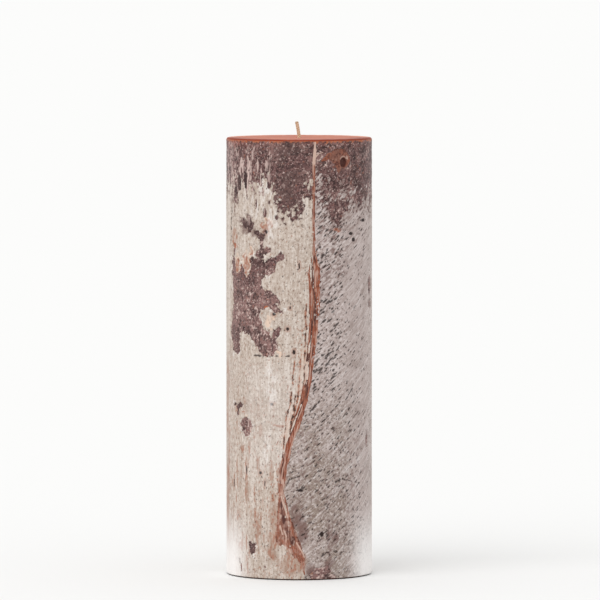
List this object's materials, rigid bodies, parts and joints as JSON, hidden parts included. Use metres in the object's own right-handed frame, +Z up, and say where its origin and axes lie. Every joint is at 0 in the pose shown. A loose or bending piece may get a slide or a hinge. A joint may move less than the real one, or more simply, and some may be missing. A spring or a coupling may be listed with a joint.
{
  "type": "pillar candle",
  "caption": "Round pillar candle with a braided wick, its dark core wax wrapped in worn brown and pale coats split by a long vein, flat base.",
  "frame": {"origin": "middle of the flat base, on the surface that the candle stands on", "axes": "+Z up along the candle's axis, -Y to the front where the long vein runs, +X to the right seen from the front"},
  "size_m": [0.07, 0.0701, 0.2177],
  "materials": {
    "core_wax": "poured terracotta candle wax, satin",
    "brown_wax": "dipped plum-brown wax, finely speckled",
    "pale_wax": "brushed cream wax with pits and upright streaks, matt",
    "grey_wax": "brushed greige wax with slanting scratches, matt",
    "back_wax": "brushed pale wax with pits and streaks, matt",
    "vein_wax": "terracotta wax run into the crack, satin",
    "knot_wax": "orange-brown wax plug, satin",
    "wick_cotton": "waxed braided cotton",
    "clip_steel": "stamped tinned steel",
    "fill_wax": "top-up pour of terracotta wax, satin"
  },
  "bodies": {
    "root": {"wax_core": "core_wax", "brown_coat": "brown_wax", "pale_coat_left": "pale_wax", "pale_coat_right": "grey_wax", "pale_coat_back": "back_wax", "long_vein": "vein_wax", "forked_vein": "vein_wax", "knot": "knot_wax", "wick": "wick_cotton", "wick_clip": "clip_steel", "base_fill": "fill_wax"}
  },
  "joints": []
}
